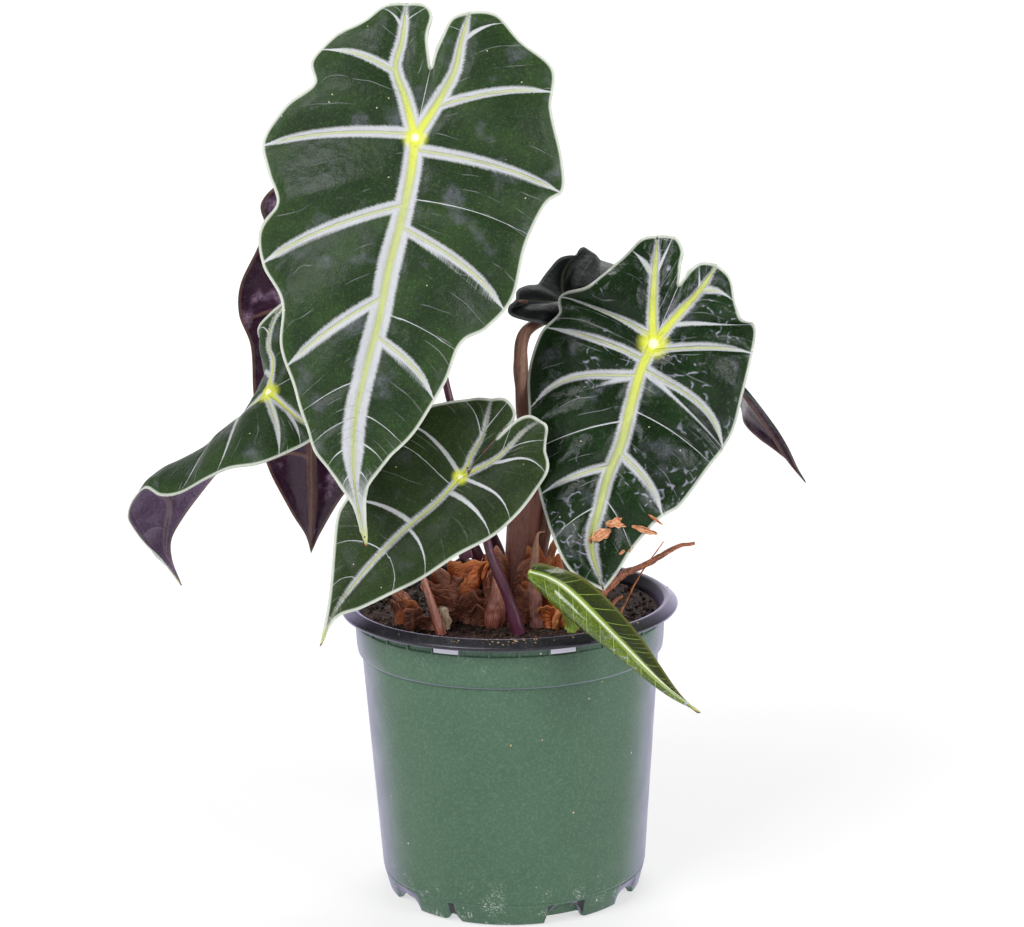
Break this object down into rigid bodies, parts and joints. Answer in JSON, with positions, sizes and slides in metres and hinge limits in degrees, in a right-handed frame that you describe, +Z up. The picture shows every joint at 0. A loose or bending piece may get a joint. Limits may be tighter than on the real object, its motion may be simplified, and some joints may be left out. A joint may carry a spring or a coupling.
{
  "type": "potted plant",
  "caption": "Potted foliage plant with arrow-shaped, pale-veined leaves on fleshy stalks, growing from a rhizome in potting soil inside a thin-walled round nursery pot",
  "frame": {"origin": "on the pot's axis, at the plane that the pot stands on, in the middle of the flat pad under the pot", "axes": "+Z up along the pot's axis, the plant's longest extent; -Y is the front, where the largest leaf faces; +X is to the right seen from the front"},
  "size_m": [0.3193, 0.1821, 0.3972],
  "materials": {
    "pot_plastic": "fine matte grain, moulded green polypropylene with a black rim",
    "soil": "coarse dark potting mix",
    "leaf_top": "dark green blade with pale veins, satin",
    "leaf_glossy": "dark green blade with pale veins, waxy gloss",
    "leaf_purple_back": "dark green above and purple beneath, satin",
    "new_leaf": "young yellow-green blade, glossy",
    "petiole": "purple fleshy stalk, satin",
    "petiole_tan": "orange-brown fleshy stalk, satin",
    "petiole_green": "green fleshy stalk, satin",
    "sheath": "dry red-brown sheath",
    "rhizome": "brown fibrous papery bark",
    "papery_scale": "orange-brown dry paper-like scale",
    "dry_stem": "dried brown stem",
    "pale_bark": "pale tan bark chunk"
  },
  "bodies": {
    "root": {"pot": "pot_plastic", "soil": "soil", "front_leaf": "leaf_top", "low_leaf": "leaf_top", "right_leaf": "leaf_glossy", "left_leaf": "leaf_purple_back", "rear_left_leaf": "leaf_purple_back", "rear_right_leaf": "leaf_purple_back", "new_leaf": "new_leaf", "front_leaf_petiole": "petiole", "low_leaf_petiole": "petiole", "right_leaf_petiole": "petiole_tan", "left_leaf_petiole": "petiole", "rear_left_leaf_petiole": "petiole", "rear_right_leaf_petiole": "petiole_tan", "new_leaf_petiole": "petiole_green", "cataphyll": "sheath", "offset_bulb": "rhizome", "rhizome": "rhizome", "old_stub": "dry_stem", "pink_stem": "petiole_tan", "pale_chunk": "pale_bark", "orange_scale": "papery_scale", "pink_scale": "papery_scale", "dried_stem": "dry_stem", "long_root": "papery_scale", "short_root": "dry_stem"}
  },
  "joints": []
}
